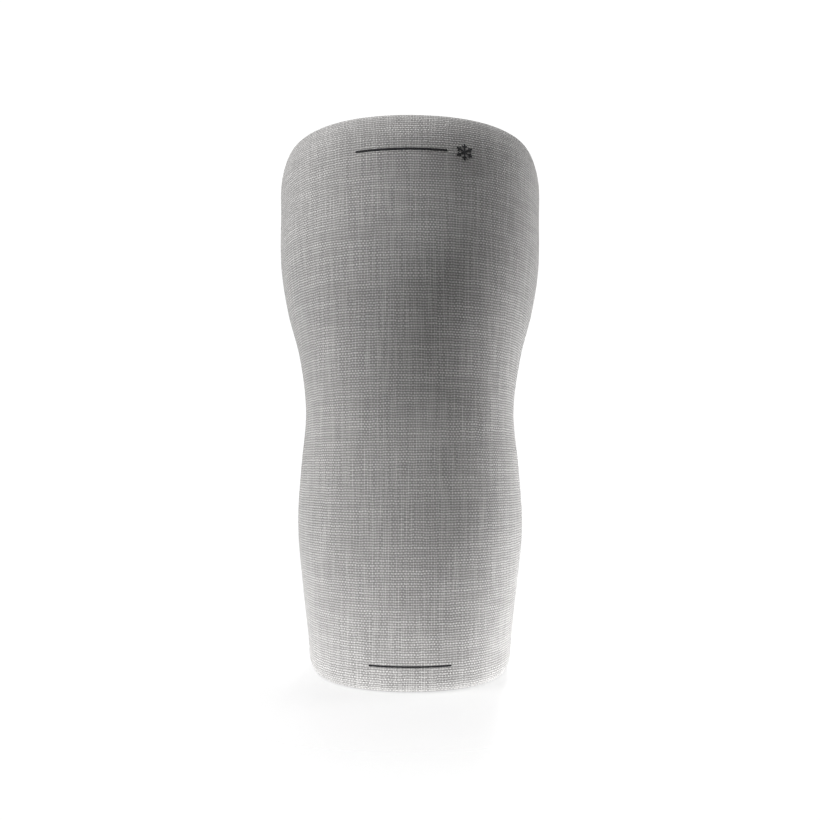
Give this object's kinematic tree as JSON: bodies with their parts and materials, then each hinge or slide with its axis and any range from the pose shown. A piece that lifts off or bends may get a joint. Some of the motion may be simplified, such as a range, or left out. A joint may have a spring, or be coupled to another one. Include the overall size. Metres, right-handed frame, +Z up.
{
  "type": "cold compression sleeve",
  "caption": "Pull-on knee sleeve with a cold gel core between a grey woven cover and a knitted lining, waisted and slightly flexed, standing on its lower mouth.",
  "frame": {"origin": "on the ground under the middle of the standing sleeve", "axes": "+Z up along the leg towards the thigh, -Y towards the front of the knee, +X to the viewer's right when seen from the front"},
  "size_m": [0.1378, 0.1412, 0.2712],
  "materials": {
    "cover_fabric": "matt plain weave with light slubs",
    "lining_fabric": "matt fine knit",
    "gel": "soft satin elastomer",
    "elastic": "ribbed woven elastic",
    "thread": "polyester sewing thread",
    "print": "matt heat-transfer film"
  },
  "bodies": {
    "lower": {"lower_cover": "cover_fabric", "lower_gel": "gel", "lower_lining": "lining_fabric", "bottom_elastic": "elastic", "bottom_join_seam": "thread", "lower_back_seam": "thread", "bottom_mark_bar": "print", "waist_cover": "cover_fabric", "waist_gel": "gel", "waist_lining": "lining_fabric", "waist_back_seam": "thread"},
    "upper": {"upper_cover": "cover_fabric", "upper_gel": "gel", "upper_lining": "lining_fabric", "top_elastic": "elastic", "top_join_seam": "thread", "upper_back_seam": "thread", "top_mark_bar": "print", "top_mark_flake": "print"}
  },
  "joints": [
    {"name": "knee_bend", "type": "hinge", "parent": "lower", "child": "upper", "pos_m": [0, -0.0051, 0.135], "axis": [-1, 0, 0], "range_deg": [-9, 45], "stiffness_Nm_per_rad": 4, "deforming": ["waist_cover", "waist_gel", "waist_lining", "waist_back_seam"]}
  ]
}
